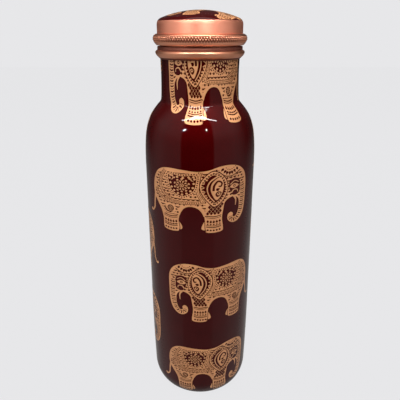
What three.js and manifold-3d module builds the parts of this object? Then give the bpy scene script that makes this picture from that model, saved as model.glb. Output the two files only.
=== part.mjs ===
// Copper water bottle: a lacquered copper shell with a recessed base disc, a threaded mouth ring,
// and a domed screw lid with a knurled foot, a threaded ring, a backing disc and a silicone seal.
// Millimetres, +Z up, origin at the centre of the base.
import * as THREE from 'three';
import { mergeVertices } from 'three/addons/utils/BufferGeometryUtils.js';
import Module from 'manifold-3d';

const wasm = await Module();
wasm.setup();

// Driving dimensions of the whole bottle
const HEIGHT = 268;
const BODY_RADIUS = 36;
const SHEET = 0.6; // copper sheet of the shell and base
const JOINT_GAP = 0.3; // left between pieces that are brazed or pressed together
const AROUND = 48; // facets around every turned piece

// Shell: rolled foot, round base corner, slightly tapered wall, shoulder and neck
const FOOT_INNER_RADIUS = 23.8;
const FLANGE_TOP = 4.6;
const CORNER_RADIUS_ACROSS = 9.9;
const CORNER_RADIUS_UP = 14.5;
const WALL_RADIUS_AT_CORNER = 35.35;
const TAPER_TOP = 60;
const SHOULDER_START = 177;
const NECK_TOP = 241.2;
const NECK_TOP_RADIUS = 24.2;

// Mouth ring
const COLLAR_BOTTOM = 234;
const COLLAR_SPIGOT_WALL = 0.95;
const STRIP_RADIUS = 25.85;
const STRIP_TOP = 248;
const MOUTH_BORE_RADIUS = 20.9;
const LIP_TOP = 258.7;
const LIP_CHAMFER = 0.5;

// Right-hand round thread between mouth ring and lid
const THREAD_PITCH = 4;
const THREAD_WIRE_RADIUS = 1;
const THREAD_TURNS = 1.9;
const THREAD_SIDES = 6;
const THREAD_STEPS_PER_TURN = 28;
const MALE_ROOT_RADIUS = 22.5;
const MALE_THREAD_START = 249.4;
const FEMALE_ROOT_RADIUS = 23.85;
const FEMALE_THREAD_START = 250.4;

// Lid
const LID_SHEET = 0.6;
const SKIRT_RADIUS = 25.75;
const SKIRT_BOTTOM = 248.9;
const SKIRT_TOP = 260.2;
const DOME_RADIUS = 64;
const DOME_EDGE_RADIUS = 23.6;
const KNURL_BOTTOM = 248.6;
const THREAD_RING_BOTTOM = 249.2;
const THREAD_RING_TOP = 260.3;
const BACKING_BOTTOM = 260.6;
const BACKING_RADIUS = 24.4;
const BACKING_BEAD_RADIUS = 13;
const BACKING_BEAD_HEIGHT = 0.9;
const SEAL_INNER_RADIUS = 20.6;
const SEAL_OUTER_RADIUS = 23.4;
const SEAL_THICKNESS = 1.3;

const COLOURS = {
  lacquer: { color: 0x3d0a10, roughness: 0.12, metalness: 0.0 },
  copper: { color: 0xc9805c, roughness: 0.32, metalness: 1.0 },
  innerCopper: { color: 0xb87356, roughness: 0.45, metalness: 1.0 },
  silicone: { color: 0xe8e4dc, roughness: 0.6, metalness: 0.0 },
};

// Outlines are lists of [radius, height]

// Points on a smooth curve through the knots, ends included
function smoothThrough(knots, steps) {
  const curve = new THREE.SplineCurve(knots.map(([r, z]) => new THREE.Vector2(r, z)));
  return curve.getPoints(steps).map((point) => [point.x, point.y]);
}

// Points on an arc of an ellipse, angles in degrees from the outward radius
function ellipseArc(centre, acrossRadius, upRadius, fromDegrees, toDegrees, steps) {
  const points = [];
  for (let i = 0; i <= steps; i += 1) {
    const angle = THREE.MathUtils.degToRad(fromDegrees + ((toDegrees - fromDegrees) * i) / steps);
    points.push([centre[0] + acrossRadius * Math.cos(angle), centre[1] + upRadius * Math.sin(angle)]);
  }
  return points;
}

// The same outline moved to its left by a distance, point by point
function offsetLeft(outline, distance) {
  return outline.map(([r, z], i) => {
    const before = outline[Math.max(i - 1, 0)];
    const after = outline[Math.min(i + 1, outline.length - 1)];
    const length = Math.hypot(after[0] - before[0], after[1] - before[1]);
    const across = -(after[1] - before[1]) / length;
    const up = (after[0] - before[0]) / length;
    return [Math.max(r + across * distance, 0), z + up * distance];
  });
}

// Points nearer than this are the same corner
const SAME_POINT = 1e-4;

function withoutRepeats(outline) {
  return outline.filter(([r, z], i) => {
    const [lastR, lastZ] = outline[(i + outline.length - 1) % outline.length];
    return i === 0 || Math.hypot(r - lastR, z - lastZ) > SAME_POINT;
  });
}

// A turned piece from an outline that either closes on itself or starts and ends on the axis
function turned(outline) {
  const corners = withoutRepeats(outline);
  const onAxis = corners[0][0] < SAME_POINT;
  const closed = onAxis ? corners : [...corners, corners[0]];
  const points = closed.map(([r, z]) => new THREE.Vector2(r, z));
  const geometry = new THREE.LatheGeometry(points, AROUND);
  geometry.rotateX(Math.PI / 2);
  return geometry;
}

// manifold-3d joins solids: to it and back
function solidFrom(geometry) {
  const bare = geometry.clone();
  bare.deleteAttribute('normal');
  bare.deleteAttribute('uv');
  const welded = mergeVertices(bare, SAME_POINT);
  const mesh = new wasm.Mesh({
    numProp: 3,
    vertProperties: new Float32Array(welded.attributes.position.array),
    triVerts: new Uint32Array(welded.index.array),
  });
  return new wasm.Manifold(mesh);
}

function geometryFrom(solid) {
  const mesh = solid.getMesh();
  const geometry = new THREE.BufferGeometry();
  geometry.setAttribute('position', new THREE.BufferAttribute(mesh.vertProperties, 3));
  geometry.setIndex(new THREE.BufferAttribute(mesh.triVerts, 1));
  geometry.computeVertexNormals();
  return geometry;
}

// Right-hand helix; its phase is set so that every helix of this pitch runs on one screw line
class Helix extends THREE.Curve {
  constructor(radius, startHeight, screwLineHeight) {
    super();
    this.radius = radius;
    this.startHeight = startHeight;
    this.phase = ((startHeight - screwLineHeight) / THREAD_PITCH) * 2 * Math.PI;
  }

  getPoint(t, target = new THREE.Vector3()) {
    const turn = t * THREAD_TURNS;
    const angle = this.phase + turn * 2 * Math.PI;
    return target.set(
      this.radius * Math.cos(angle),
      this.radius * Math.sin(angle),
      this.startHeight + turn * THREAD_PITCH,
    );
  }
}

// The round ridge of a thread, a bar of round section bent along the helix
function threadRidge(radius, startHeight, screwLineHeight) {
  const section = new THREE.Shape();
  for (let i = 0; i < THREAD_SIDES; i += 1) {
    const angle = (i / THREAD_SIDES) * 2 * Math.PI;
    const x = THREAD_WIRE_RADIUS * Math.cos(angle);
    const y = THREAD_WIRE_RADIUS * Math.sin(angle);
    if (i === 0) section.moveTo(x, y);
    else section.lineTo(x, y);
  }
  section.closePath();
  return new THREE.ExtrudeGeometry(section, {
    steps: Math.round(THREAD_STEPS_PER_TURN * THREAD_TURNS),
    bevelEnabled: false,
    extrudePath: new Helix(radius, startHeight, screwLineHeight),
  });
}

function shellOutside() {
  const corner = ellipseArc(
    [WALL_RADIUS_AT_CORNER - CORNER_RADIUS_ACROSS, CORNER_RADIUS_UP],
    CORNER_RADIUS_ACROSS,
    CORNER_RADIUS_UP,
    -90,
    0,
    6,
  );
  const taper = smoothThrough(
    [
      [WALL_RADIUS_AT_CORNER, CORNER_RADIUS_UP],
      [35.75, 34],
      [BODY_RADIUS, TAPER_TOP],
    ],
    2,
  );
  const shoulder = smoothThrough(
    [
      [BODY_RADIUS, SHOULDER_START],
      [35.6, 188.5],
      [34.46, 198.4],
      [31.97, 206],
      [28.87, 210.9],
      [25.3, 215.2],
    ],
    8,
  );
  const neck = smoothThrough(
    [
      [25.3, 215.2],
      [24.45, 218],
      [24.05, 231],
      [NECK_TOP_RADIUS, NECK_TOP],
    ],
    3,
  );
  return [...corner, ...taper, ...shoulder, ...neck];
}

function bodyShell() {
  const outside = withoutRepeats(shellOutside());
  const inside = offsetLeft(outside, SHEET).reverse();
  const flangeOuterRadius = FOOT_INNER_RADIUS + SHEET;
  const foot = [
    [flangeOuterRadius, SHEET],
    [flangeOuterRadius, FLANGE_TOP],
    [FOOT_INNER_RADIUS, FLANGE_TOP],
    [FOOT_INNER_RADIUS, 0],
  ];
  return turned([...outside, ...inside, ...foot]);
}

// Shallow disc that sits in the foot with its rim turned down
function baseDisc() {
  const rimOuter = FOOT_INNER_RADIUS - JOINT_GAP;
  const rimInner = rimOuter - SHEET;
  const rimBottom = 1.2;
  const plateBottom = FLANGE_TOP;
  const crown = 1.2;
  return turned([
    [0, plateBottom + crown],
    [rimInner * 0.5, plateBottom + crown * 0.8],
    [rimInner - SHEET, plateBottom],
    [rimInner, plateBottom - SHEET],
    [rimInner, rimBottom],
    [rimOuter, rimBottom],
    [rimOuter, plateBottom],
    [rimInner, plateBottom + SHEET],
    [rimInner * 0.5, plateBottom + SHEET + crown * 0.8],
    [0, plateBottom + SHEET + crown],
  ]);
}

// Mouth ring: spigot in the neck, stop bead, plain strip, threaded tube and sealing lip
function neckCollar() {
  const spigotOuter = NECK_TOP_RADIUS - SHEET - JOINT_GAP - 0.2;
  const spigotInner = spigotOuter - COLLAR_SPIGOT_WALL;
  const beadBottom = NECK_TOP + JOINT_GAP;
  const bead = smoothThrough(
    [
      [24.9, beadBottom],
      [26.25, 242.7],
      [27.17, 244.35],
      [26.8, 245.4],
      [STRIP_RADIUS, 245.95],
    ],
    5,
  );
  const ring = turned([
    [spigotInner, COLLAR_BOTTOM],
    [spigotOuter, COLLAR_BOTTOM],
    [spigotOuter, beadBottom],
    ...bead,
    [STRIP_RADIUS, STRIP_TOP],
    [MALE_ROOT_RADIUS, STRIP_TOP],
    [MALE_ROOT_RADIUS, LIP_TOP - LIP_CHAMFER],
    [MALE_ROOT_RADIUS - LIP_CHAMFER, LIP_TOP],
    [MOUTH_BORE_RADIUS + LIP_CHAMFER, LIP_TOP],
    [MOUTH_BORE_RADIUS, LIP_TOP - LIP_CHAMFER],
    [MOUTH_BORE_RADIUS, STRIP_TOP],
    [spigotInner, STRIP_TOP - 2],
  ]);
  const ridge = threadRidge(MALE_ROOT_RADIUS, MALE_THREAD_START, MALE_THREAD_START);
  return geometryFrom(solidFrom(ring).add(solidFrom(ridge)));
}

function lidOutside() {
  const domeCentre = HEIGHT - DOME_RADIUS;
  const edgeDegrees = THREE.MathUtils.radToDeg(Math.acos(DOME_EDGE_RADIUS / DOME_RADIUS));
  const dome = ellipseArc([0, domeCentre], DOME_RADIUS, DOME_RADIUS, edgeDegrees, 90, 4);
  const edge = smoothThrough(
    [
      [SKIRT_RADIUS, SKIRT_TOP],
      [25.45, 261.6],
      [24.7, 262.65],
      dome[0],
    ],
    4,
  );
  return withoutRepeats([[SKIRT_RADIUS, SKIRT_BOTTOM], ...edge, ...dome]);
}

// Lid of one sheet: straight skirt, round edge and shallow dome, open below
function capShell() {
  const outside = lidOutside();
  const inside = offsetLeft(outside, LID_SHEET).reverse();
  inside[0][0] = 0;
  outside[outside.length - 1][0] = 0;
  return turned([...inside, ...outside]);
}

// Grip bead round the lid's foot; the knurl is finer than this solid
function capKnurledRing() {
  const innerRadius = SKIRT_RADIUS + JOINT_GAP;
  const bead = smoothThrough(
    [
      [26.3, KNURL_BOTTOM],
      [27.5, 250],
      [28.45, 251.9],
      [27.98, 253.9],
      [26.4, 254.95],
    ],
    7,
  );
  return turned([[innerRadius, KNURL_BOTTOM], ...bead, [innerRadius, bead[bead.length - 1][1]]]);
}

// Threaded ring inside the lid; its ridge runs in the groove of the mouth ring's thread
function capThreadRing() {
  const outerRadius = SKIRT_RADIUS - LID_SHEET - JOINT_GAP;
  const ring = turned([
    [FEMALE_ROOT_RADIUS, THREAD_RING_BOTTOM],
    [outerRadius, THREAD_RING_BOTTOM],
    [outerRadius, THREAD_RING_TOP],
    [FEMALE_ROOT_RADIUS, THREAD_RING_TOP],
  ]);
  const screwLine = MALE_THREAD_START + THREAD_PITCH / 2;
  const ridge = threadRidge(FEMALE_ROOT_RADIUS, FEMALE_THREAD_START, screwLine);
  const tube = turned([
    [MALE_ROOT_RADIUS - THREAD_WIRE_RADIUS, THREAD_RING_BOTTOM],
    [outerRadius, THREAD_RING_BOTTOM],
    [outerRadius, THREAD_RING_TOP],
    [MALE_ROOT_RADIUS - THREAD_WIRE_RADIUS, THREAD_RING_TOP],
  ]);
  const trimmedRidge = solidFrom(ridge).intersect(solidFrom(tube));
  return geometryFrom(solidFrom(ring).add(trimmedRidge));
}

// Disc that closes the dome's hollow, with a stiffening bead pressed up into it
function capInnerDisc() {
  const top = BACKING_BOTTOM + LID_SHEET;
  const beadHalfWidth = 1.6;
  const underside = [
    [0, BACKING_BOTTOM],
    [BACKING_BEAD_RADIUS - beadHalfWidth, BACKING_BOTTOM],
    [BACKING_BEAD_RADIUS, BACKING_BOTTOM + BACKING_BEAD_HEIGHT],
    [BACKING_BEAD_RADIUS + beadHalfWidth, BACKING_BOTTOM],
    [BACKING_RADIUS, BACKING_BOTTOM],
  ];
  const topside = [
    [BACKING_RADIUS, top],
    [BACKING_BEAD_RADIUS + beadHalfWidth, top],
    [BACKING_BEAD_RADIUS, top + BACKING_BEAD_HEIGHT],
    [BACKING_BEAD_RADIUS - beadHalfWidth, top],
    [0, top],
  ];
  return turned([...underside, ...topside]);
}

function capGasket() {
  const bottom = LIP_TOP + JOINT_GAP;
  const top = bottom + SEAL_THICKNESS;
  const round = 0.3;
  return turned([
    [SEAL_INNER_RADIUS + round, bottom],
    [SEAL_OUTER_RADIUS - round, bottom],
    [SEAL_OUTER_RADIUS, bottom + round],
    [SEAL_OUTER_RADIUS, top - round],
    [SEAL_OUTER_RADIUS - round, top],
    [SEAL_INNER_RADIUS + round, top],
    [SEAL_INNER_RADIUS, top - round],
    [SEAL_INNER_RADIUS, bottom + round],
  ]);
}

function piece(name, geometry, finish) {
  const mesh = new THREE.Mesh(geometry, new THREE.MeshStandardMaterial(finish));
  mesh.name = name;
  return mesh;
}

const bottle = new THREE.Group();
bottle.add(piece('body_shell', bodyShell(), COLOURS.lacquer));
bottle.add(piece('base_disc', baseDisc(), COLOURS.innerCopper));
bottle.add(piece('neck_collar', neckCollar(), COLOURS.copper));

const lid = new THREE.Group();
lid.add(piece('cap_shell', capShell(), COLOURS.lacquer));
lid.add(piece('cap_knurled_ring', capKnurledRing(), COLOURS.copper));
lid.add(piece('cap_thread_ring', capThreadRing(), COLOURS.copper));
lid.add(piece('cap_inner_disc', capInnerDisc(), COLOURS.innerCopper));
lid.add(piece('cap_gasket', capGasket(), COLOURS.silicone));

const group = new THREE.Group();
group.add(bottle, lid);

export default group;
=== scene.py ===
"""A lacquered copper water bottle printed with ornamented elephants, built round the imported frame.

Blender works in metres. Outlines and artwork are written in millimetres and scaled by MM.
The front, where the camera stands, is at -Y. Angles round the bottle are in degrees from the front,
positive towards +X.
"""
import math

import bmesh
import bpy
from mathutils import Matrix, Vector
from mathutils.geometry import delaunay_2d_cdt


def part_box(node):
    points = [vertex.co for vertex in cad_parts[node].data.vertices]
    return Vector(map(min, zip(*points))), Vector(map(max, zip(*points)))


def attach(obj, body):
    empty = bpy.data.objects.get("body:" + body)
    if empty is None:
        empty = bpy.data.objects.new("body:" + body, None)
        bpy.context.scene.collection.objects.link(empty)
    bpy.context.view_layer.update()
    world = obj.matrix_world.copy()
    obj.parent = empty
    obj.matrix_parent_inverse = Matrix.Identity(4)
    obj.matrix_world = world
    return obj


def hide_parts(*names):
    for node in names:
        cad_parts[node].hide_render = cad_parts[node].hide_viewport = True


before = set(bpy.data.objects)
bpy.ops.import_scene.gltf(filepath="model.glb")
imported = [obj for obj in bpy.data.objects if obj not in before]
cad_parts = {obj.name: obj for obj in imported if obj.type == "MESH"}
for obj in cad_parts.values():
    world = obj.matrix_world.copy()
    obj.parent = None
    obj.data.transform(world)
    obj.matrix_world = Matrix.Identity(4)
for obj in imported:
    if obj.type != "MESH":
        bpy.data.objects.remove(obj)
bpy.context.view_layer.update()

MM = 0.001
TINY = 1e-6
SAME_POINT = 1e-4
AROUND = 192

# ------------ sizes, from the frame


def top_of(node):
    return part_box(node)[1].z / MM


def bottom_of(node):
    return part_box(node)[0].z / MM


def radius_of(node):
    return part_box(node)[1].x / MM


BODY_RADIUS = radius_of("body_shell")
NECK_TOP = top_of("body_shell")
HEIGHT = top_of("cap_shell")
SKIRT_RADIUS = radius_of("cap_shell")
SKIRT_BOTTOM = bottom_of("cap_shell")
SHEET = 0.6
LID_SHEET = 0.6
BRAZE_GAP = 0.3

# ------------ outlines, [radius, height]


def smooth_through(knots, steps, closed=False):
    """Points on a smooth curve through the knots, steps to each span."""
    count = len(knots)
    points = []
    for i in range(count if closed else count - 1):
        if closed:
            p0, p1, p2, p3 = (knots[(i + k) % count] for k in (-1, 0, 1, 2))
        else:
            p0, p1, p2, p3 = (knots[min(max(i + k, 0), count - 1)] for k in (-1, 0, 1, 2))
        for s in range(steps):
            t = s / steps
            point = []
            for a, b, c, d in zip(p0, p1, p2, p3):
                slope_b = (c - a) / 2
                slope_c = (d - b) / 2
                point.append(
                    (2 * b - 2 * c + slope_b + slope_c) * t**3
                    + (-3 * b + 3 * c - 2 * slope_b - slope_c) * t**2
                    + slope_b * t
                    + b
                )
            points.append(tuple(point))
    if not closed:
        points.append(tuple(knots[-1]))
    return points


def loop_through(knots, steps):
    """A smooth closed outline through the knots."""
    return smooth_through(knots, steps, closed=True)


def ellipse_arc(centre, across, up, start, end, steps):
    """Points on an arc of an ellipse, angles in degrees from the outward radius."""
    points = []
    for i in range(steps + 1):
        angle = math.radians(start + (end - start) * i / steps)
        points.append((centre[0] + across * math.cos(angle), centre[1] + up * math.sin(angle)))
    return points


def beside(path, distance, closed=False):
    """The path moved to its left."""
    moved = []
    last = len(path) - 1
    for i, (x, y) in enumerate(path):
        x0, y0 = path[i - 1] if closed else path[max(i - 1, 0)]
        x1, y1 = path[(i + 1) % len(path)] if closed else path[min(i + 1, last)]
        length = math.hypot(x1 - x0, y1 - y0)
        moved.append((x - (y1 - y0) / length * distance, y + (x1 - x0) / length * distance))
    return moved


def sheet_inside(outline, thickness):
    """The inner face of a sheet whose outer face climbs, from the top down."""
    return [(max(r, 0.0), z) for r, z in beside(outline, thickness)][::-1]


def joined(*outlines):
    """Outlines end to end, without doubled points."""
    points = []
    for outline in outlines:
        for point in outline:
            if not points or math.dist(points[-1], point) > SAME_POINT:
                points.append(point)
    return points


CORNER_ACROSS = 9.9
CORNER_UP = 14.5
CORNER_WALL_RADIUS = BODY_RADIUS - 0.65
WALL_BOTTOM = 60
WALL_TOP = 177
NECK_FOOT = (25.3, 215.2)
FOOT_INNER = 23.8
FLANGE_TOP = 4.6


def shell_outside():
    """Rounded foot, straight wall, shoulder and slightly waisted neck, from the foot up."""
    corner_centre = (CORNER_WALL_RADIUS - CORNER_ACROSS, CORNER_UP)
    wall_bottom = (BODY_RADIUS, WALL_BOTTOM)
    wall_top = (BODY_RADIUS, WALL_TOP)
    shoulder = [wall_top, (35.6, 188.5), (34.46, 198.4), (31.97, 206), (28.87, 210.9), NECK_FOOT]
    return joined(
        ellipse_arc(corner_centre, CORNER_ACROSS, CORNER_UP, -90, 0, 20),
        smooth_through([(CORNER_WALL_RADIUS, CORNER_UP), (35.75, 34), wall_bottom], 6),
        smooth_through([wall_bottom, (BODY_RADIUS, 118), wall_top], 4),
        smooth_through(shoulder, 7),
        smooth_through([NECK_FOOT, (24.45, 218), (24.05, 231), (24.2, NECK_TOP)], 6),
    )


SHELL_OUTSIDE = shell_outside()


def lid_outside():
    """Skirt, rounded edge and shallow dome, from the foot of the skirt to the top."""
    dome_radius = 64
    dome_edge = 23.6
    edge_angle = math.degrees(math.acos(dome_edge / dome_radius))
    dome = ellipse_arc((0, HEIGHT - dome_radius), dome_radius, dome_radius, edge_angle, 90, 20)
    edge = smooth_through([(SKIRT_RADIUS, 260.2), (25.45, 261.6), (24.7, 262.65), dome[0]], 7)
    return joined([(SKIRT_RADIUS, SKIRT_BOTTOM)], edge, dome)


def height_at(outline, radius):
    """The height and unit normal (outwards, up) at a radius, where the outline climbs inwards."""
    for (r0, z0), (r1, z1) in zip(outline, outline[1:]):
        if r1 <= radius <= r0 and r0 > r1:
            length = math.hypot(r1 - r0, z1 - z0)
            height = z0 + (z1 - z0) * (r0 - radius) / (r0 - r1)
            return height, (z1 - z0) / length, (r0 - r1) / length
    return outline[-1][1], 0.0, 1.0


def radius_at(outline, height):
    """The outline's radius and unit normal (outwards, up) at a height."""
    for (r0, z0), (r1, z1) in zip(outline, outline[1:]):
        if z0 <= height <= z1 and z1 > z0:
            share = (height - z0) / (z1 - z0)
            length = math.hypot(r1 - r0, z1 - z0)
            return r0 + (r1 - r0) * share, (z1 - z0) / length, -(r1 - r0) / length
    nearest = outline[0] if height < outline[0][1] else outline[-1]
    return nearest[0], 1.0, 0.0


# ------------ meshes


def in_scene(name, data):
    """A new object of the scene that shows a mesh, lamp or camera."""
    obj = bpy.data.objects.new(name, data)
    bpy.context.scene.collection.objects.link(obj)
    return obj


def object_from(name, vertices, faces, materials, face_slots, sharp_degrees):
    mesh = bpy.data.meshes.new(name)
    mesh.from_pydata([(x * MM, y * MM, z * MM) for x, y, z in vertices], [], faces)
    mesh.validate()
    for material in materials:
        mesh.materials.append(material)
    mesh.polygons.foreach_set("material_index", face_slots)
    mesh.polygons.foreach_set("use_smooth", [True] * len(mesh.polygons))
    bm = bmesh.new()
    bm.from_mesh(mesh)
    bmesh.ops.recalc_face_normals(bm, faces=bm.faces)
    bm.to_mesh(mesh)
    bm.free()
    mesh.set_sharp_from_angle(angle=math.radians(sharp_degrees))
    return in_scene(name, mesh)


def turned(name, outline, materials, slot_of=None, around=AROUND, shape=None, sharp_degrees=35):
    """A turned solid. shape(r, z, angle) gives each point's own (r, z), for a thread or a knurl."""
    vertices = []
    faces = []
    face_slots = []
    rings = []
    for r, z in outline:
        if r < TINY:
            rings.append([len(vertices)] * around)
            vertices.append((0.0, 0.0, z))
            continue
        ring = []
        for i in range(around):
            angle = 2 * math.pi * i / around
            radius, height = shape(r, z, angle) if shape else (r, z)
            ring.append(len(vertices))
            vertices.append((radius * math.sin(angle), -radius * math.cos(angle), height))
        rings.append(ring)
    pairs = list(zip(range(len(rings) - 1), range(1, len(rings))))
    if outline[0][0] > TINY:
        pairs.append((len(rings) - 1, 0))
    for low, high in pairs:
        slot = slot_of(outline[low], outline[high]) if slot_of else 0
        for i in range(around):
            j = (i + 1) % around
            corners = [rings[low][i], rings[low][j], rings[high][j], rings[high][i]]
            unique = list(dict.fromkeys(corners))
            if len(unique) > 2:
                faces.append(unique)
                face_slots.append(slot)
    return object_from(name, vertices, faces, materials, face_slots, sharp_degrees)


def even_steps(outline, spacing):
    """The same outline with points at equal steps along it."""
    lengths = [0.0]
    for start, end in zip(outline, outline[1:]):
        lengths.append(lengths[-1] + math.dist(start, end))
    count = max(1, round(lengths[-1] / spacing))
    points = []
    segment = 0
    for i in range(count + 1):
        target = lengths[-1] * i / count
        while segment < len(outline) - 2 and lengths[segment + 1] < target:
            segment += 1
        share = (target - lengths[segment]) / (lengths[segment + 1] - lengths[segment])
        (r0, z0), (r1, z1) = outline[segment], outline[segment + 1]
        points.append((r0 + (r1 - r0) * share, z0 + (z1 - z0) * share))
    return points


# ------------ materials


class Nodes:
    """Short spelling for the node tree of a material, or of the world."""

    def __init__(self, owner):
        owner.use_nodes = True
        self.owner = owner
        self.tree = owner.node_tree
        self.shader = self.tree.nodes.get("Principled BSDF")

    def add(self, kind, **settings):
        node = self.tree.nodes.new("ShaderNode" + kind)
        for key, value in settings.items():
            setattr(node, key, value)
        return node

    def link(self, source, target):
        self.tree.links.new(source, target)

    def feed(self, name, source):
        """Drive one of the shader's sockets."""
        self.link(source, self.shader.inputs[name])

    def set(self, **values):
        """Values of the shader's sockets, with _ for each space in a name."""
        for key, value in values.items():
            self.shader.inputs[key.replace("_", " ")].default_value = value

    def noise(self, scale, detail, stretch=None, roughness=0.5):
        """Noise in the object's own space, finer as scale grows; stretch scales each axis."""
        place = self.add("TexCoord").outputs["Object"]
        if stretch:
            mapping = self.add("Mapping")
            mapping.inputs["Scale"].default_value = stretch
            self.link(place, mapping.inputs["Vector"])
            place = mapping.outputs["Vector"]
        noise = self.add("TexNoise")
        noise.inputs["Scale"].default_value = scale
        noise.inputs["Detail"].default_value = detail
        noise.inputs["Roughness"].default_value = roughness
        self.link(place, noise.inputs["Vector"])
        return noise.outputs["Fac"]

    def remap(self, value, low, high, across=(0.3, 0.7), kind="LINEAR"):
        """A change from low to high as the value goes across a span."""
        node = self.add("MapRange", interpolation_type=kind)
        limits = {"From Min": across[0], "From Max": across[1], "To Min": low, "To Max": high}
        for key, limit in limits.items():
            node.inputs[key].default_value = limit
        self.link(value, node.inputs["Value"])
        return node.outputs["Result"]

    def calculate(self, operation, *values):
        node = self.add("Math", operation=operation)
        for value, socket in zip(values, node.inputs):
            if isinstance(value, float):
                socket.default_value = value
            else:
                self.link(value, socket)
        return node.outputs["Value"]

    def colours(self, value, *stops):
        """A colour ramp: each stop is (place, (r, g, b))."""
        node = self.add("ValToRGB")
        ramp = node.color_ramp
        while len(ramp.elements) < len(stops):
            ramp.elements.new(0.5)
        for element, (place, colour) in zip(ramp.elements, stops):
            element.position = place
            element.color = (*colour, 1.0)
        self.link(value, node.inputs["Fac"])
        return node.outputs["Color"]

    def bump(self, height, distance, normal=None):
        node = self.add("Bump")
        node.inputs["Distance"].default_value = distance
        self.link(height, node.inputs["Height"])
        if normal:
            self.link(normal, node.inputs["Normal"])
        return node.outputs["Normal"]


TURNING_RINGS = (60, 60, 9000)
RING_DEPTH = 0.000012
GRAIN_SCALE = 420
GRAIN_DEPTH = 0.000008


def lacquer_material():
    """Deep maroon lacquer under a clear gloss coat."""
    n = Nodes(bpy.data.materials.new("maroon_lacquer"))
    cloud = n.noise(60, detail=3)
    n.feed("Base Color", n.colours(cloud, (0.3, (0.037, 0.0004, 0.0006)), (0.7, (0.046, 0.0007, 0.0010))))
    n.feed("Roughness", n.remap(n.noise(900, detail=2), 0.48, 0.60))
    n.set(Metallic=0.5, Coat_Weight=1.0, Coat_Roughness=0.03, Coat_IOR=1.3, Specular_IOR_Level=0.0)
    n.feed("Normal", n.bump(n.noise(260, detail=1), 0.000004))
    return n.owner


def copper_material(name, dark, light, roughness, stain=0.0, brushed=0.0, metallic=1.0):
    """Copper with the fine rings that turning or spinning leaves, and a faint tarnish."""
    n = Nodes(bpy.data.materials.new(name))
    mottling = n.noise(55, detail=5, roughness=0.62)
    n.feed("Base Color", n.colours(mottling, (0.30, dark), (0.62, light)))
    rings = n.noise(1.0, detail=2, stretch=TURNING_RINGS)
    n.feed("Roughness", n.remap(rings, roughness * 0.85, roughness * 1.2 + stain))
    n.set(Metallic=metallic, Anisotropic=brushed, Anisotropic_Rotation=0.25)
    if brushed:
        tangent = n.add("Tangent", direction_type="RADIAL", axis="Z")
        n.feed("Tangent", tangent.outputs["Tangent"])
    fine = n.bump(rings, RING_DEPTH)
    n.feed("Normal", n.bump(n.noise(GRAIN_SCALE, detail=2), GRAIN_DEPTH, fine))
    return n.owner


def knurled_material():
    """Bright worn tips on the knurl; its grooves are darkened, partly tarnish and partly painted shade."""
    n = Nodes(bpy.data.materials.new("knurled_copper"))
    groove = n.add("Attribute", attribute_name="groove").outputs["Fac"]
    # Tip colour to groove colour: the dark grooves are partly tarnish and partly painted shade.
    n.feed("Base Color", n.colours(groove, (0.22, (0.96, 0.42, 0.26)), (0.66, (0.22, 0.062, 0.034))))
    n.feed("Roughness", n.remap(groove, 0.3, 0.6, across=(0.2, 0.8)))
    n.set(Metallic=1.0)
    n.feed("Normal", n.bump(n.noise(GRAIN_SCALE, detail=2), GRAIN_DEPTH))
    return n.owner


def print_material():
    """Gold ink: mostly matt pigment with a metallic fleck, under the clear coat."""
    n = Nodes(bpy.data.materials.new("gold_print"))
    patches = n.noise(150, detail=4)
    n.feed("Base Color", n.colours(patches, (0.3, (0.440, 0.190, 0.077)), (0.7, (0.540, 0.253, 0.107))))
    n.feed("Roughness", n.remap(n.noise(2500, detail=2), 0.38, 0.55))
    n.set(Metallic=0.2, Coat_Weight=0.8, Coat_Roughness=0.05, Coat_IOR=1.3)
    n.feed("Normal", n.bump(n.noise(3000, detail=1), 0.00001))
    return n.owner


def silicone_material():
    """Milky soft silicone."""
    n = Nodes(bpy.data.materials.new("silicone"))
    cloud = n.noise(140, detail=3)
    n.feed("Base Color", n.colours(cloud, (0.3, (0.62, 0.60, 0.55)), (0.7, (0.72, 0.70, 0.65))))
    n.feed("Roughness", n.remap(n.noise(1500, detail=2), 0.5, 0.7))
    n.set(Subsurface_Weight=0.1)
    n.feed("Normal", n.bump(n.noise(2000, detail=2), 0.00002))
    return n.owner


LACQUER = lacquer_material()
BARE = copper_material("bare_copper", (0.50, 0.22, 0.13), (0.66, 0.33, 0.21), 0.36, stain=0.06)
TURNED = copper_material("turned_copper", (0.74, 0.31, 0.18), (0.88, 0.39, 0.24), 0.37)
SATIN = copper_material(
    "lid_copper", (0.92, 0.348, 0.222), (0.99, 0.405, 0.267), 0.48, brushed=0.5, metallic=0.93
)
KNURLED = knurled_material()
# Dull, rough copper. On the plain strip under the lid its dark colour is painted shade from the
# overhanging knurled bead; on the neck seam it is a dark joint.
DULL_WITH_PAINTED_SHADE = copper_material("dull_copper_with_painted_shade", (0.20, 0.068, 0.045), (0.25, 0.088, 0.062), 0.6)
GOLD = print_material()
SILICONE = silicone_material()

# ------------ the turned pieces


def place(piece, body, slot, *nodes):
    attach(piece, body)
    if nodes:
        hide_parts(*nodes)


def make_shell():
    inside = sheet_inside(SHELL_OUTSIDE, SHEET)
    flange_outer = FOOT_INNER + SHEET
    edge = 0.2
    foot = [
        (flange_outer, SHEET),
        (flange_outer, FLANGE_TOP - edge),
        (flange_outer - edge, FLANGE_TOP),
        (FOOT_INNER + edge, FLANGE_TOP),
        (FOOT_INNER, FLANGE_TOP - edge),
        (FOOT_INNER, 0.5),
        (FOOT_INNER + 0.5, 0.0),
    ]
    outside_edges = set(zip(SHELL_OUTSIDE, SHELL_OUTSIDE[1:]))
    shell = turned(
        "shell",
        joined(SHELL_OUTSIDE, inside, foot),
        [LACQUER, BARE],
        slot_of=lambda low, high: 0 if (low, high) in outside_edges else 1,
    )
    place(shell, "bottle", "maroon_lacquer", "body_shell")


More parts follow.
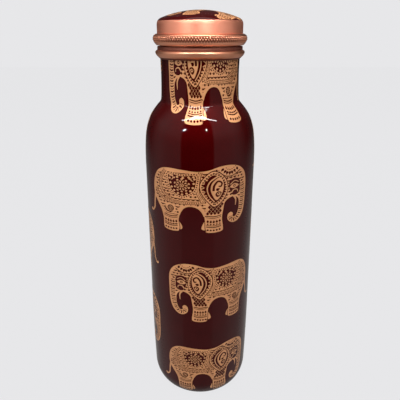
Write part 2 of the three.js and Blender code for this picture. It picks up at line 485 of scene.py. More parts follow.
def make_base():
    """Shallow crowned disc with its rim turned down inside the foot, and its brazed seam."""
    rim_outer = radius_of("base_disc")
    rim_inner = rim_outer - SHEET
    rim_bottom = bottom_of("base_disc")
    crown_top = top_of("base_disc")
    crown_middle = rim_inner * 0.5
    crown_fall = 0.24
    edge = 0.15
    under_bend = (rim_inner - 1.6, FLANGE_TOP)
    over_bend = (rim_inner - 1.2, 5.25)
    underside = [(0, crown_top - SHEET), (crown_middle, crown_top - SHEET - crown_fall), under_bend]
    topside = [over_bend, (crown_middle, crown_top - crown_fall), (0, crown_top)]
    outline = joined(
        smooth_through(underside, 8),
        smooth_through([under_bend, (rim_inner - 0.4, 4.2), (rim_inner, 3.0)], 5),
        [(rim_inner, rim_bottom + edge), (rim_inner + edge, rim_bottom)],
        [(rim_outer - edge, rim_bottom), (rim_outer, rim_bottom + edge)],
        smooth_through([(rim_outer, 3.4), (rim_outer - 0.35, 4.9), over_bend], 5),
        smooth_through(topside, 8),
    )
    place(turned("base_plate", outline, [BARE]), "bottle", "bare_copper", "base_disc")
    inner, outer = rim_outer - 0.1, FOOT_INNER + 0.1
    seam = [(inner, 1.0), (rim_outer + 0.1, 1.35), (outer, 1.0), (outer, 2.2), (inner, 2.2)]
    place(turned("base_seam", loop_through(seam, 4), [TURNED]), "bottle", "turned_copper")


THREAD_PITCH = 4
THREAD_WIRE = 1.0
THREAD_TURNS = 1.9
MALE_ROOT = 22.5
MALE_START = 249.4
FEMALE_ROOT = 23.85
FEMALE_START = 250.4
RUN_OUT = 0.08
THREAD_ROW = 0.2


def ridge_height(z, angle, start, screw_line):
    """How far a round thread ridge stands out of its root, at a height and an angle from the front.

    Its screw line passes +X, a quarter turn from the front, at the height screw_line.
    """
    phase = (start - screw_line) / THREAD_PITCH
    first = (angle / (2 * math.pi) - 0.25 - phase) % 1.0
    best = 0.0
    for lap in range(math.ceil(THREAD_TURNS)):
        turn = first + lap
        if turn > THREAD_TURNS:
            continue
        offset = abs(z - start - turn * THREAD_PITCH) / THREAD_WIRE
        fade = min(turn, THREAD_TURNS - turn, RUN_OUT) / RUN_OUT
        if offset < 1:
            best = max(best, THREAD_WIRE * math.sqrt(1 - offset**2) * math.sqrt(fade))
    return best


def make_mouth_ring():
    """Spigot in the neck, stop bead, plain strip of dull copper darkened as painted shade under the lid's
    knurled bead, threaded tube and sealing lip.
    """
    spigot_outer = 23.1
    spigot_inner = 22.15
    spigot_bottom = bottom_of("neck_collar")
    bead_radius = radius_of("neck_collar")
    bead_bottom = NECK_TOP + BRAZE_GAP
    strip_radius = 25.85
    strip_bottom = 245.95
    strip_top = 248.0
    strip_edge = 0.25
    painted_shade_spill = 0.15
    spigot_edge = 0.2
    bore = 20.9
    lip_top = top_of("neck_collar")
    lip_round = 0.5
    lip_middle = lip_top - lip_round
    bead = [(24.9, bead_bottom), (26.25, 242.7), (bead_radius, 244.35), (26.8, 245.4)]
    outline = joined(
        [(spigot_inner + spigot_edge, spigot_bottom), (spigot_outer - spigot_edge, spigot_bottom)],
        [(spigot_outer, spigot_bottom + spigot_edge), (spigot_outer, bead_bottom)],
        smooth_through(bead + [(strip_radius, strip_bottom)], 10),
        [(strip_radius, strip_top - strip_edge), (strip_radius - strip_edge, strip_top)],
        even_steps([(MALE_ROOT, strip_top), (MALE_ROOT, lip_middle)], THREAD_ROW),
        ellipse_arc((MALE_ROOT - lip_round, lip_middle), lip_round, lip_round, 0, 90, 5),
        ellipse_arc((bore + lip_round, lip_middle), lip_round, lip_round, 90, 180, 5),
        [(bore, strip_top), (spigot_inner, strip_top - 2), (spigot_inner, spigot_bottom + spigot_edge)],
    )

    def threaded(r, z, angle):
        if abs(r - MALE_ROOT) > TINY:
            return r, z
        return r + ridge_height(z, angle, MALE_START, MALE_START), z

    # The plain strip, from just below its foot, gets the dull copper whose dark colour is painted shade.
    def slot_of(low, high):
        outside_thread = min(low[0], high[0]) > MALE_ROOT + THREAD_WIRE
        return 1 if outside_thread and min(low[1], high[1]) > strip_bottom - painted_shade_spill else 0

    ring = turned("mouth_ring", outline, [TURNED, DULL_WITH_PAINTED_SHADE], slot_of, shape=threaded, sharp_degrees=50)
    place(ring, "bottle", "turned_copper", "neck_collar")
    seam = [(24.1, 240.9), (24.45, 241.05), (24.95, 241.45), (25.3, 241.75), (24.6, 241.75), (23.9, 241.5)]
    place(turned("neck_seam", loop_through(seam, 4), [DULL_WITH_PAINTED_SHADE]), "bottle", "turned_copper")


def make_lid_shell():
    """One sheet: bare satin skirt, and a lacquered dome above the rounded edge."""
    lacquer_from = 262.05
    outside = lid_outside()
    inside = sheet_inside(outside, LID_SHEET)
    inside[0] = (0.0, inside[0][1])
    outside[-1] = (0.0, outside[-1][1])
    outside_edges = set(zip(outside, outside[1:]))

    def slot_of(low, high):
        if (low, high) not in outside_edges:
            return 2
        return 0 if min(low[1], high[1]) > lacquer_from else 1

    lid = turned("lid_shell", joined(inside, outside), [LACQUER, SATIN, BARE], slot_of=slot_of)
    place(lid, "cap", "lid_copper", "cap_shell")


KNURL_COUNT = 110
KNURL_TALL = 2.6
KNURL_DEPTH = 0.5
KNURL_SLOPE = 0.8
KNURL_SAMPLES = 8


def make_knurled_ring():
    """Grip bead with a real diamond knurl over a smooth lower lip."""
    inner = SKIRT_RADIUS + BRAZE_GAP
    bottom = bottom_of("cap_knurled_ring")
    outer = radius_of("cap_knurled_ring")
    bead = [(26.3, bottom), (27.5, 250), (outer, 251.9), (27.98, 253.9), (26.4, 254.95)]
    rows = even_steps(smooth_through(bead, 16), KNURL_TALL / KNURL_SAMPLES)
    along_bead = {point: i / KNURL_SAMPLES for i, point in enumerate(rows)}
    normals = {}
    for before, point, after in zip(rows, rows[1:], rows[2:]):
        length = math.dist(before, after)
        normals[point] = ((after[1] - before[1]) / length, -(after[0] - before[0]) / length)
    knurl_bottom = 250.15
    knurl_top = 254.2
    fade = 0.35
    depths = []

    def knurled(r, z, angle):
        if (r, z) not in normals:
            depths.append(0.0)
            return r, z
        mask = min(max(min(z - knurl_bottom, knurl_top - z) / fade, 0.0), 1.0)
        round_share = KNURL_COUNT * angle / (2 * math.pi)
        up_share = along_bead[(r, z)]
        crossing = (round_share + up_share, round_share - up_share)
        ridge = min(1 - abs(2 * (share % 1.0) - 1) for share in crossing)
        depth = (1 - min(ridge, KNURL_SLOPE) / KNURL_SLOPE) * mask
        depths.append(depth)
        push = -KNURL_DEPTH * depth
        out, up = normals[(r, z)]
        return r + out * push, z + up * push

    ring = turned(
        "knurled_ring",
        joined([(inner, bottom)], rows, [(inner, rows[-1][1])]),
        [KNURLED],
        around=KNURL_COUNT * KNURL_SAMPLES,
        shape=knurled,
        sharp_degrees=60,
    )
    # The groove depth darkens the knurl's grooves in its material: partly tarnish, partly painted shade.
    ring.data.attributes.new("groove", "FLOAT", "POINT").data.foreach_set("value", depths)
    place(ring, "cap", "knurled_copper", "cap_knurled_ring")


def make_thread_ring():
    """Ring brazed inside the skirt, with a ridge that runs in the mouth ring's thread."""
    outer = SKIRT_RADIUS - LID_SHEET - BRAZE_GAP
    bottom = bottom_of("cap_thread_ring")
    top = top_of("cap_thread_ring")
    edge = 0.2
    rows = even_steps([(FEMALE_ROOT, top - edge), (FEMALE_ROOT, bottom + edge)], THREAD_ROW)
    outline = joined(
        [(FEMALE_ROOT + edge, bottom), (outer - edge, bottom), (outer, bottom + edge)],
        [(outer, top - edge), (outer - edge, top), (FEMALE_ROOT + edge, top)],
        rows,
    )

    def threaded(r, z, angle):
        if abs(r - FEMALE_ROOT) > TINY:
            return r, z
        return r - ridge_height(z, angle, FEMALE_START, MALE_START + THREAD_PITCH / 2), z

    ring = turned("thread_ring", outline, [TURNED], shape=threaded, sharp_degrees=50)
    place(ring, "cap", "turned_copper", "cap_thread_ring")


def make_backing_disc():
    """Disc that closes the dome's hollow, with a stiffening bead pressed up into it."""
    bottom = bottom_of("cap_inner_disc")
    radius = radius_of("cap_inner_disc")
    bead_radius = 13.0
    bead_half = 1.6
    bead_height = 0.9
    foot = (bead_half + 0.6, 0)
    flank = (bead_half * 0.5, bead_height * 0.5)
    fall = [(bead_radius + across, up) for across, up in (flank, foot)]
    rise = [(bead_radius - across, up) for across, up in (foot, flank)]
    wave = smooth_through([(0, 0)] + rise + [(bead_radius, bead_height)] + fall + [(radius, 0)], 6)
    underside = [(r, bottom + z) for r, z in wave]
    topside = [(r, bottom + LID_SHEET + z) for r, z in wave][::-1]
    disc_piece = turned("backing_disc", joined(underside, topside), [BARE])
    place(disc_piece, "cap", "bare_copper", "cap_inner_disc")


def make_seal():
    """Flat silicone ring with rounded corners."""
    bottom = bottom_of("cap_gasket")
    top = top_of("cap_gasket")
    outer = radius_of("cap_gasket")
    inner = 20.6
    edge = 0.35
    corners = (
        ((outer - edge, bottom + edge), -90),
        ((outer - edge, top - edge), 0),
        ((inner + edge, top - edge), 90),
        ((inner + edge, bottom + edge), 180),
    )
    arcs = (ellipse_arc(centre, edge, edge, start, start + 90, 5) for centre, start in corners)
    place(turned("seal_ring", joined(*arcs), [SILICONE]), "seal", "silicone", "cap_gasket")


make_shell()
make_base()
make_mouth_ring()
make_lid_shell()
make_knurled_ring()
make_thread_ring()
make_backing_disc()
make_seal()

# ------------ the printed elephant
#
# Drawn flat and facing right, with its tail at x = 0, its trunk at ART_WIDTH and its feet at y = 0.

ART_WIDTH = 68.0
ART_HEIGHT = 48.6


def turned_by(points, x, y, degrees):
    """Points drawn about the origin, turned and moved to (x, y)."""
    c, s = math.cos(math.radians(degrees)), math.sin(math.radians(degrees))
    return [(x + a * c - b * s, y + a * s + b * c) for a, b in points]


def disc(x, y, radius, sides):
    step = 2 * math.pi / sides
    return [(x + radius * math.cos(i * step), y + radius * math.sin(i * step)) for i in range(sides)]


def diamond(x, y, half_width, half_height):
    return [(x + half_width, y), (x, y + half_height), (x - half_width, y), (x, y - half_height)]


def drop(x, y, length, width, degrees):
    """A petal from its point at (x, y), fullest past the middle."""
    steps = 5
    side = []
    for i in range(1, steps):
        t = i / steps
        side.append((length * t, width / 2 * math.sin(math.pi * t**1.5)))
    outline = [(0, 0)] + side + [(length, 0)] + [(a, -b) for a, b in reversed(side)]
    return turned_by(outline, x, y, degrees)


def crescent(x, y, width, thickness, degrees):
    """A small moon, its horns pointing along degrees."""
    outer = [(-0.5, 0.0), (-0.36, -0.36), (0.0, -0.5), (0.36, -0.36), (0.5, 0.0)]
    depth = 0.5 - thickness
    inner = [(0.28, -0.7 * depth), (0.0, -depth), (-0.28, -0.7 * depth)]
    outline = [(a * width, b * width) for a, b in outer + inner]
    return turned_by(outline, x, y, degrees - 90)


def ribbon(knots, width, end_width=None, steps=4):
    """A stroke of ink along a smooth path, as one closed outline."""
    path = smooth_through(knots, steps)
    last = len(path) - 1
    end = width if end_width is None else end_width
    left, right = [], []
    for i, (x, y) in enumerate(path):
        x0, y0 = path[max(i - 1, 0)]
        x1, y1 = path[min(i + 1, last)]
        length = math.hypot(x1 - x0, y1 - y0)
        half = (width + (end - width) * i / last) / 2
        across = (-(y1 - y0) / length * half, (x1 - x0) / length * half)
        left.append((x + across[0], y + across[1]))
        right.append((x - across[0], y - across[1]))
    return left + right[::-1]


def along(path, spacing, start=0.0, closed=False):
    """(x, y, direction in degrees) at equal steps along a path."""
    points = path + path[:1] if closed else path
    found = []
    travelled = 0.0
    target = start
    for (x0, y0), (x1, y1) in zip(points, points[1:]):
        length = math.hypot(x1 - x0, y1 - y0)
        while length > 0 and travelled + length >= target:
            share = (target - travelled) / length
            heading = math.degrees(math.atan2(y1 - y0, x1 - x0))
            found.append((x0 + (x1 - x0) * share, y0 + (y1 - y0) * share, heading))
            target += spacing
        travelled += length
    return found


def scaled(outline, scale, centre):
    cx, cy = centre
    return [(cx + (x - cx) * scale, cy + (y - cy) * scale) for x, y in outline]


def is_inside(point, outline):
    x, y = point
    crossings = 0
    for (x0, y0), (x1, y1) in zip(outline, outline[1:] + outline[:1]):
        if (y0 > y) != (y1 > y) and x < x0 + (y - y0) / (y1 - y0) * (x1 - x0):
            crossings += 1
    return crossings % 2 == 1


def lattice(region, across, up):
    """Staggered places, row by row, within a region's box: (x, y, row)."""
    xs = [x for x, _ in region]
    ys = [y for _, y in region]
    rows = int((max(ys) - min(ys)) / up) + 1
    columns = int((max(xs) - min(xs)) / across) + 2
    for row in range(rows):
        for column in range(columns):
            yield min(xs) + across * (column + 0.5 * (row % 2)), min(ys) + up * row, row


class Paper:
    """Shapes laid over each other like cut paper: whatever lies on top decides gold or bare."""

    def __init__(self):
        self.shapes = []

    def gold(self, outline):
        self.shapes.append((outline, True))

    def bare(self, outline):
        self.shapes.append((outline, False))

    def bare_within(self, outline, region):
        if all(is_inside(point, region) for point in outline):
            self.bare(outline)

    def bare_dots(self, path, spacing, radius, start):
        for x, y, _ in along(path, spacing, start):
            self.bare(disc(x, y, radius, 6))

    def rosette(self, x, y, radius, petals):
        """Gold petals and beads round a ringed eye, on a bare disc."""
        self.bare(disc(x, y, radius, 28))
        for i in range(petals):
            degrees = 360 * i / petals
            c, s = math.cos(math.radians(degrees)), math.sin(math.radians(degrees))
            start = radius * 0.36
            self.gold(drop(x + c * start, y + s * start, radius * 0.56, radius * 2.1 / petals, degrees))
            half = math.radians(degrees + 180 / petals)
            rim = radius * 0.86
            self.gold(disc(x + math.cos(half) * rim, y + math.sin(half) * rim, radius * 0.075, 6))
        self.gold(disc(x, y, radius * 0.32, 14))
        self.bare(disc(x, y, radius * 0.21, 10))
        self.gold(disc(x, y, radius * 0.1, 8))


def elephant_outline():
    """Once round the body, clockwise from the root of the tail."""
    back = [(5, 24), (4.3, 31), (5.8, 38.6), (9.8, 44.2), (16, 46.6), (26, 46.2), (34, 45.4)]
    head = [(41, 46.2), (48, 48.4), (55, 48.6), (61.2, 46.4), (65.4, 42), (67.2, 36)]
    trunk = [(67.2, 27), (66.8, 18), (65, 10.6), (61.2, 6.2), (56.8, 5.4), (53.4, 8.2), (53.2, 12)]
    curl = [(55.2, 13.8), (57, 12.4), (56.8, 10.2), (58.8, 9.6), (60.8, 12.2), (61.6, 17), (61.2, 22)]
    chest = [(58.2, 25.2), (54.4, 25), (51.2, 22.4), (49.9, 17), (49.4, 10), (50.2, 3.2), (49.4, 0.7)]
    belly = [(45, -0.1), (40.4, 0.3), (39.2, 2.2), (38.8, 8), (37.8, 14), (35, 18.4), (30.8, 20)]
    hind = [(26.8, 18.6), (24.2, 14), (23.2, 8.6), (23.8, 3.2), (23, 0.8), (18.4, -0.1), (13.8, 0.5)]
    thigh = [(12.6, 2.6), (12.4, 8.6), (10.8, 14.4), (7.6, 19.6)]
    return loop_through(back + head + trunk + curl + chest + belly + hind + thigh, 5)


def draw_tail_and_far_feet(art):
    art.gold(ribbon([(5.4, 25), (4.4, 19), (4, 14), (1.8, 10.6), (0.4, 11.2)], 1.5, 0.9))
    art.gold(drop(2.4, 10.8, 2.8, 1.9, 165))
    art.gold(loop_through([(22.4, 9), (24.6, 6.2), (25.4, 3.6), (24.6, 2.2), (22.4, 2.6)], 3))
    art.gold(loop_through([(39.4, 9.4), (37.6, 6.6), (36.9, 3.9), (37.7, 2.5), (39.8, 2.8)], 3))


def draw_field(art, outline):
    """Rows of scales, beads and leaves all over the hide, inside a plain gold rim."""
    hide = beside(outline, -0.8, closed=True)
    for x, y, row in lattice(hide, 2.7, 2.05):
        if row % 3 == 0:
            art.bare_within(crescent(x, y + 0.4, 2.6, 0.42, 90), hide)
        elif row % 3 == 1:
            art.bare_within(disc(x, y, 0.76, 7), hide)
        else:
            art.bare_within(drop(x - 1, y - 0.2, 2.2, 1.5, 12), hide)
        art.bare_within(disc(x + 1.35, y + 0.1, 0.34, 5), hide)


def draw_legs(art):
    """Net on the upper foreleg, then bands, drops and toenails."""
    art.bare(ribbon([(23.8, 12.6), (23.3, 8.4), (23.9, 3.4), (23.3, 1)], 0.45))
    art.bare(ribbon([(38.4, 12.6), (38.9, 8), (39.1, 3), (40.2, 0.8)], 0.45))
    net = [(39.6, 24), (39.4, 13.2), (49.5, 13.2), (51, 23)]
    art.gold(net)
    for x, y, _ in lattice(net, 2.2, 1.6):
        art.bare_within(diamond(x, y, 1.02, 1.45), net)
    for left, right, knee in ((13.2, 22.4, 11.6), (39.7, 48.9, 12.6)):
        middle = (left + right) / 2
        cuff = knee + 1.2
        art.gold([(left, cuff), (left + 0.2, 0.9), (middle, 0.4), (right - 0.2, 0.9), (right, cuff)])
        for height, thickness in ((knee, 0.7), (knee - 1.2, 0.45), (5.5, 0.45), (4.3, 0.7)):
            sides = height + 0.5
            art.bare(ribbon([(left, sides), (middle, height - 0.35), (right, sides)], thickness))
        toes = 5
        for i in range(toes):
            x = left + 0.9 + (right - left - 1.8) * i / (toes - 1)
            sag = 0.85 * (1 - ((x - middle) / (middle - left)) ** 2)
            art.bare(drop(x, knee - 2.1 - sag, 2.4, 1.6, -90))
            art.bare(drop(x, knee - 6.2 - sag, 1.3, 1.2, 90))
            art.bare(disc(x, 2.4 - sag * 0.8, 0.72, 8))


def draw_thigh(art):
    """A small flower held by a moon."""
    art.gold(disc(17.4, 17.2, 3.9, 24))
    art.bare(crescent(16.9, 17, 6.6, 0.18, 60))
    art.bare(disc(17.9, 17.4, 2.3, 20))
    art.rosette(17.9, 17.4, 1.9, 7)


def draw_saddle(art):
    """A dark cloth with a beaded hem, leaves round its edge and a flower in the middle."""
    left = [(16.2, 43.6), (15.8, 37), (18.2, 30.4)]
    right = [(32.6, 30.4), (34.8, 37), (34.4, 43.6)]
    cloth = loop_through(left + [(25.4, 26.4)] + right + [(25.4, 42.8)], 6)
    centre = (25.4, 35.4)
    art.gold(scaled(cloth, 1.06, centre))
    for x, y, _ in along(scaled(cloth, 0.97, centre), 1.55, closed=True):
        art.bare(disc(x, y, 0.5, 7))
    art.bare(scaled(cloth, 0.87, centre))
    for x, y, heading in along(scaled(cloth, 0.87, centre), 3.3, closed=True):
        art.gold(drop(x, y, 1.9, 1.7, heading + 90))
    petals = 10
    flower = (25.4, 35.3)
    for i in range(petals):
        degrees = 360 * (i + 0.5) / petals
        tip = turned_by([(3.5, 0)], *flower, degrees)[0]
        art.gold(drop(*tip, 1.6, 1.6, degrees))
    art.rosette(*flower, 4.1, petals)
    for side in (-1, 1):
        art.gold(crescent(flower[0] + side * 6.6, 40, 3, 0.2, 90 - side * 60))
        art.gold(disc(flower[0] + side * 4.6, 40.4, 0.6, 8))


def draw_ear(art):
    """A leaf-shaped ear: notched rim, a long dark fold, and curling sprigs on a dark ground."""
    front = [(43.6, 45.2), (38.8, 41.4), (36, 35.6), (37.6, 28.6), (42.6, 21.4)]
    back = [(45.4, 20.2), (49.8, 24.4), (52.6, 31), (51.8, 38), (48.4, 43)]
    ear = loop_through(front + back, 5)
    centre = (44.6, 33)
    art.bare(scaled(ear, 1.06, centre))
    art.gold(ear)
    for x, y, heading in along(scaled(ear, 0.95, centre), 1.9, closed=True):
        art.bare(drop(x, y, 1.5, 1.35, heading + 90))
    art.bare(scaled(ear, 0.80, centre))
    art.gold(ribbon([(46.8, 42), (42.2, 38.6), (40.2, 33.6), (41.4, 28), (44.6, 23.4)], 0.9, 0.6))
    leaf = [(47.6, 41), (43.4, 37.6), (42.2, 33), (43.4, 28.2), (45.8, 24.6), (48.6, 28)]
    art.gold(loop_through(leaf + [(50, 32.6), (49.8, 37.4)], 5))
    sprig = [(43.9, 31.4), (44.3, 35.2), (46.6, 38.2), (48.9, 36.8), (48.3, 34.4), (46.9, 34.8)]
    art.bare(ribbon(sprig, 1.5, 0.9))
    art.bare(drop(47.9, 33.2, 3, 2.2, -150))
    art.bare(loop_through([(45, 29), (46.6, 30.9), (48.8, 30.2), (48, 28), (46.2, 26.8)], 4))
    art.gold(loop_through([(45.9, 29), (46.9, 30), (48.1, 29.6), (47.2, 28)], 4))
    art.bare(disc(46.9, 29.2, 0.5, 8))
    fringe = ((39, 37.4, 30), (38.9, 34.2, 10), (39.3, 31, -10), (40.3, 28, -25), (40.6, 40, 45))
    for x, y, degrees in fringe:
        art.gold(drop(x, y, 1.5, 1, degrees + 180))


def draw_head(art):
    """Eye and cheek on a dark face, a plumed crown and a tusk."""
    brow = [(53.6, 36), (56.6, 38.6), (60.6, 37.6), (62.4, 33.4)]
    cheek = [(62.2, 29), (59.8, 26.4), (56.4, 26.6), (54.6, 29.6)]
    art.bare(loop_through(brow + cheek, 4))
    art.gold(ribbon([(54.6, 34.6), (57.6, 36.8), (60.8, 35.2)], 0.7, 0.5))
    art.gold(loop_through([(54.3, 32.8), (57.4, 34.9), (61, 33), (57.6, 31.4)], 4))
    art.bare(disc(57.5, 33.2, 1, 10))
    art.gold(disc(57.5, 33.2, 0.45, 8))
    art.gold(ribbon([(55.4, 28.2), (57.2, 30.3), (59.8, 29.8), (60.2, 28)], 0.9, 0.5))
    crown = [(46.8, 45), (51, 41.4), (56, 41), (61.4, 43.8)]
    art.gold(crown + [(60.4, 46), (55, 47.9), (48.4, 47.6)])
    art.bare(ribbon(crown, 0.7))
    band = smooth_through(crown, 5)
    for x, y, heading in along(beside(band, 0.7), 2.3, start=1):
        art.bare(drop(x, y, 3, 1.8, heading + 90))
    art.bare_dots(beside(band, -1.2), 1.5, 0.45, start=0.6)
    art.bare_dots(beside(band, 4.7), 1.5, 0.42, start=2)
    art.gold(ribbon([(57.2, 25.9), (58.9, 22.6), (58.7, 18.2)], 1.7, 0.35))


def draw_trunk(art):
    """Notches that turn with the trunk, wide and fine by turns."""
    spine = [(64, 33.6), (64.3, 27), (64, 19), (62.7, 12.4), (60, 8.2), (56.4, 7.6), (54.8, 10.4)]
    art.gold(ribbon(spine, 4.4, 3.2))
    for i, (x, y, heading) in enumerate(along(smooth_through(spine, 6), 1.5)):
        half = 1.75 if y > 14 else 1.25
        across = [(0, half), (0.45, 0), (0, -half)]
        art.bare(ribbon(turned_by(across, x, y, heading), 0.85 if i % 2 else 0.4, steps=3))


def draw_borders(art):
    """Double lines with beads: under the belly, round the rump and over the shoulder."""
    girth = [(6.6, 30), (9.4, 25.6), (14, 23.2), (20, 22.5), (28, 22.6), (34.6, 22.9), (39.4, 24.6)]
    rump = [(14.6, 44.8), (11.4, 39.4), (10.6, 32.8), (13, 27.6), (18.6, 24.8)]
    shoulder = [(36.4, 45), (35.4, 41.2), (34.8, 36), (34.9, 30), (37.4, 24.6)]
    for knots, radius in ((girth, 0.45), (rump, 0.4), (shoulder, 0.34)):
        art.gold(ribbon(knots, 2.5))
        path = smooth_through(knots, 5)
        art.bare(ribbon(beside(path, 0.95)[::5], 0.4))
        art.bare(ribbon(beside(path, -0.95)[::5], 0.4))
        art.bare_dots(path, radius * 2.9, radius, start=0.5)


def elephant_artwork():
    art = Paper()
    outline = elephant_outline()
    draw_tail_and_far_feet(art)
    art.gold(outline)
    draw_field(art, outline)
    for draw in (draw_thigh, draw_legs, draw_borders, draw_saddle, draw_ear, draw_head, draw_trunk):
        draw(art)
    return art


WALL_STEP = 8
COARSE = 2.6
FINE = 1.3


def cut_out(art, window, step_up):
    """The gold inside a window as flat triangles, cut small enough to bend: (points, triangles)."""
    points, faces, edges = [], [], []
    for outline in [window] + [shape for shape, _ in art.shapes]:
        area = sum(x0 * y1 - x1 * y0 for (x0, y0), (x1, y1) in zip(outline, outline[1:] + outline[:1]))
        faces.append(list(range(len(points), len(points) + len(outline))))
        points.extend(outline if area > 0 else outline[::-1])
    margin = 1.013
    for step, upright in ((COARSE, True), (step_up, False)):
        for i in range(int((ART_WIDTH + 2 * margin) / step) + 1):
            at = i * step - margin
            ends = [(-margin, at), (ART_WIDTH + margin, at)]
            if upright:
                ends = [(at, -margin), (at, ART_WIDTH)]
            edges.append((len(points), len(points) + 1))
            points.extend(ends)
    exact = 1e-5
    cut = delaunay_2d_cdt([Vector(p) for p in points], edges, faces, 0, exact, True)
    flat, triangles, sources = cut[0], cut[2], cut[5]
    kept = []
    for triangle, source in zip(triangles, sources):
        if 0 in source and len(source) > 1 and art.shapes[max(source) - 1][1]:
            kept.append(triangle)
    used = sorted({i for triangle in kept for i in triangle})
    renumbered = {old: new for new, old in enumerate(used)}
    return [tuple(flat[i]) for i in used], [[renumbered[i] for i in t] for t in kept]


# ------------ the print on the bottle and lid

PRINT_LIFT = 0.05
PRINT_BOTTOM = 1.5
PRINT_TOP = NECK_TOP - 0.3
ELEPHANT = elephant_artwork()


def print_sheet(name, patches, body):
    """One thin sheet of ink from patches of (points, normals, triangles), in millimetres."""
    vertices, normals, faces = [], [], []
    for points, directions, triangles in patches:
        start = len(vertices)
        for point, direction in zip(points, directions):
            vertices.append([(p + d * PRINT_LIFT) * MM for p, d in zip(point, direction)])
        normals.extend(directions)
        faces.extend([i + start for i in triangle] for triangle in triangles)
    mesh = bpy.data.meshes.new(name)
    mesh.from_pydata(vertices, [], faces)
    mesh.materials.append(GOLD)
    mesh.polygons.foreach_set("use_smooth", [True] * len(faces))
    mesh.normals_split_custom_set_from_vertices(normals)
    place(in_scene(name, mesh), body, "gold_print")


def wrapped(tail_angle, trunk_angle, feet, head, step_up=WALL_STEP):
    """The elephant wrapped round the shell between two angles and two heights.

    The shell's curved ends need a fine step_up. What lies past the printed heights is cut off.
    """
    spare = 1
    low = -spare
    high = ART_HEIGHT + spare
    scale_up = (head - feet) / ART_HEIGHT
    if feet < PRINT_BOTTOM:
        low = (PRINT_BOTTOM - feet) / scale_up
    if head > PRINT_TOP:
        high = (PRINT_TOP - feet) / scale_up
    right = ART_WIDTH + spare
    window = [(-spare, low), (right, low), (right, high), (-spare, high)]
    flat, triangles = cut_out(ELEPHANT, window, step_up)
    points, normals = [], []
    for x, y in flat:
        degrees = tail_angle + (trunk_angle - tail_angle) * x / ART_WIDTH
        z = feet + y * scale_up
        r, out, up = radius_at(SHELL_OUTSIDE, z)
        s, c = math.sin(math.radians(degrees)), math.cos(math.radians(degrees))
        points.append((r * s, -r * c, z))
        normals.append((out * s, -out * c, up))
    if trunk_angle < tail_angle:
        triangles = [t[::-1] for t in triangles]
    return points, normals, triangles


def make_body_prints():
    """Elephants placed by the angles of tail and trunk and the heights of feet and head."""
    front = [
        wrapped(76, -50, 206.4, 255.4, FINE),
        wrapped(-60.3, 53.4, 139.3, 182.3),
        wrapped(68.5, -36.2, 71.4, 116.4),
        wrapped(-45.7, 61.2, 7, 49.9, COARSE),
    ]
    left = [
        wrapped(-52, -160, 233.6, 282.6, FINE),
        wrapped(-183, -77.5, 166.5, 214, FINE),
        wrapped(-51.5, -160, 99.4, 147),
        wrapped(-160, -52, 32.4, 81),
        wrapped(-60, -168, -34.6, 14.6, FINE),
    ]
    right = [
        wrapped(182, 74, 232, 281, FINE),
        wrapped(71, 169, 165, 213, FINE),
        wrapped(180, 74, 100, 148),
        wrapped(78, 186, 33, 81.6),
        wrapped(186, 78, -34, 15, FINE),
    ]
    for name, patches in (("front", front), ("left", left), ("right", right)):
        print_sheet("print_" + name, patches, "bottle")


def make_lid_print():
    """One elephant laid flat over the dome, cut where the lacquer ends."""
    reach = 25.0
    scale = 0.72
    middle_x, middle_y = 41.8, 27.5
    turn = math.radians(12)
    nearest = 0.01
    flat, triangles = cut_out(ELEPHANT, disc(middle_x, middle_y, reach / scale, 96), COARSE)
    outside = lid_outside()
    points, normals = [], []
    for x, y in flat:
        left = (x - middle_x) * scale
        rear = (y - middle_y) * scale
        across = rear * math.sin(turn) - left * math.cos(turn)
        back = rear * math.cos(turn) + left * math.sin(turn)
        r = max(math.hypot(across, back), nearest)
        z, out, up = height_at(outside, r)
        points.append((across, back, z))
        normals.append((across / r * out, back / r * out, up))
    print_sheet("print_lid", [(points, normals, [t[::-1] for t in triangles])], "cap")


make_body_prints()
make_lid_print()

# ------------ camera, light and floor

CAMERA_DISTANCE = 7.5 * BODY_RADIUS * MM
CAMERA_HEIGHT = 7.137 * BODY_RADIUS * MM
CAMERA_PITCH = 22.14
CAMERA_LENS = 37.6
PALE = (0.799, 0.799, 0.815)
WARM_WHITE = (1.0, 0.97, 0.94)
LAMP_AIM = Vector((0, 0, 0.2))
POINT_LAMP = (0.014, 0.014)
SOFT_LAMPS = {
    "soft_key": (-8, 67, 10.0),
    "soft_left": (-105, 50, 3.6),
    "soft_right": (105, 50, 2.6),
    "soft_back": (175, 38, 6.5),
}

# The reflected room, by azimuth in radians from the front and height as the sine of the elevation
DARK_GAP_SHIFT = math.radians(5.5)
PANEL_EDGE = (0.54, 0.64)
PANEL_STRENGTH = 0.44
PANEL_RISE = (0.0, 0.4)
PANEL_TOP_GAIN = 1.75
REAR_EDGE = (1.35, 2.1)
REAR_RISE = (-0.45, -0.10)
REAR_DIMMING = (0.35, 0.92)
TABLE_EDGE = (-0.28, -0.48)
TABLE_STRENGTH = 0.33
CEILING_EDGE = (0.91, 0.96)
CEILING_STRENGTH = 2.25


def make_camera():
    data = bpy.data.cameras.new("camera")
    data.lens = CAMERA_LENS
    data.sensor_width = 36
    data.clip_start = 0.01
    camera = in_scene("camera", data)
    camera.location = (0, -CAMERA_DISTANCE, CAMERA_HEIGHT)
    camera.rotation_euler = (math.radians(90 - CAMERA_PITCH), 0, 0)
    bpy.context.scene.camera = camera


def make_lamp(name, azimuth, elevation, distance, size, power, mirrored=True):
    """A lamp that faces the shoulder, placed by angles from the front. Unmirrored, no gloss shows it."""
    data = bpy.data.lights.new(name, "AREA")
    data.shape = "RECTANGLE"
    data.size, data.size_y = size
    data.energy = power
    lamp = in_scene(name, data)
    a, e = math.radians(azimuth), math.radians(elevation)
    way = Vector((math.sin(a) * math.cos(e), -math.cos(a) * math.cos(e), math.sin(e)))
    lamp.location = LAMP_AIM + way * distance
    lamp.rotation_euler = way.to_track_quat("Z", "Y").to_euler()
    lamp.visible_glossy = mirrored


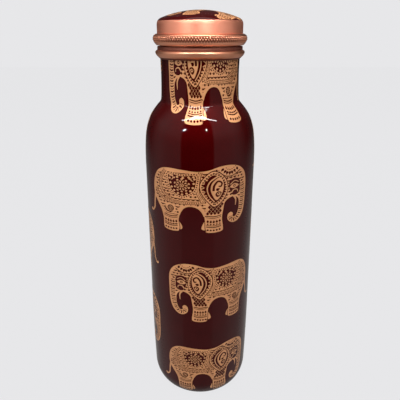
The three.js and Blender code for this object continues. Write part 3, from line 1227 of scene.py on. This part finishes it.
def make_floor():
    """A pale floor that glows evenly and stays out of reflections."""
    half = 3.0
    mesh = bpy.data.meshes.new("floor")
    corners = [(-half, -half, 0), (half, -half, 0), (half, half, 0), (-half, half, 0)]
    mesh.from_pydata(corners, [], [(0, 1, 2, 3)])
    n = Nodes(bpy.data.materials.new("floor"))
    n.set(Base_Color=(0.006, 0.006, 0.006, 1.0), Roughness=1.0, Specular_IOR_Level=0.0)
    n.set(Emission_Color=(*PALE, 1.0), Emission_Strength=0.98)
    mesh.materials.append(n.owner)
    floor = in_scene("floor", mesh)
    floor.visible_glossy = False
    floor.visible_diffuse = False


def room_strength(n):
    """How bright the room is each way: side panels with a dark gap straight in front,
    dimmed behind the bottle, the table and a bright ceiling."""
    axes = n.add("SeparateXYZ")
    n.link(n.add("TexCoord").outputs["Generated"], axes.inputs["Vector"])

    def glow(value, edge, low, high):
        return n.remap(value, low, high, across=edge, kind="SMOOTHSTEP")

    up = axes.outputs["Z"]
    ahead = n.calculate("MULTIPLY", axes.outputs["Y"], -1.0)
    signed = n.calculate("ARCTAN2", axes.outputs["X"], ahead)
    azimuth = n.calculate("ABSOLUTE", n.calculate("ADD", signed, DARK_GAP_SHIFT))
    beside_front = glow(azimuth, PANEL_EDGE, 0.0, PANEL_STRENGTH)
    panels = n.calculate("MULTIPLY", beside_front, glow(up, PANEL_RISE, 1.0, PANEL_TOP_GAIN))
    rear = glow(azimuth, REAR_EDGE, 0.0, 1.0)
    behind = n.calculate("MULTIPLY", rear, glow(up, REAR_RISE, *REAR_DIMMING))
    panels = n.calculate("MULTIPLY", panels, n.calculate("SUBTRACT", 1.0, behind))
    table = glow(up, TABLE_EDGE, 0.0, TABLE_STRENGTH)
    ceiling = glow(up, CEILING_EDGE, 0.0, CEILING_STRENGTH)
    return n.calculate("ADD", n.calculate("MAXIMUM", panels, table), ceiling)


def make_world():
    """Pale behind the object, and a dim studio in what it reflects."""
    n = Nodes(bpy.data.worlds.new("studio"))
    bpy.context.scene.world = n.owner
    backdrop = n.tree.nodes["Background"]
    backdrop.inputs["Color"].default_value = (*PALE, 1.0)
    room = n.add("Background")
    room.inputs["Color"].default_value = (*WARM_WHITE, 1.0)
    n.link(room_strength(n), room.inputs["Strength"])
    mix = n.add("MixShader")
    n.link(n.add("LightPath").outputs["Is Camera Ray"], mix.inputs["Fac"])
    n.link(room.outputs["Background"], mix.inputs[1])
    n.link(backdrop.outputs["Background"], mix.inputs[2])
    n.link(mix.outputs["Shader"], n.tree.nodes["World Output"].inputs["Surface"])


def make_lights():
    """Small lamps and strips for the glints, and large ones for the light itself."""
    make_lamp("lamp_left", -34, 25.6, 1.23, POINT_LAMP, 2.6)
    make_lamp("lamp_right", 14.2, 27.2, 1.23, POINT_LAMP, 3.6)
    make_lamp("strip_above", -2.5, 60.2, 0.92, (1.1, 0.035), 9.5)
    make_lamp("strip_high", 38, 69, 0.9, (0.3, 0.03), 0.5)
    for name, (azimuth, elevation, power) in SOFT_LAMPS.items():
        make_lamp(name, azimuth, elevation, 1.0, (0.6, 0.6), power, mirrored=False)


bpy.context.scene.view_settings.view_transform = "Standard"
make_camera()
make_floor()
make_world()
make_lights()
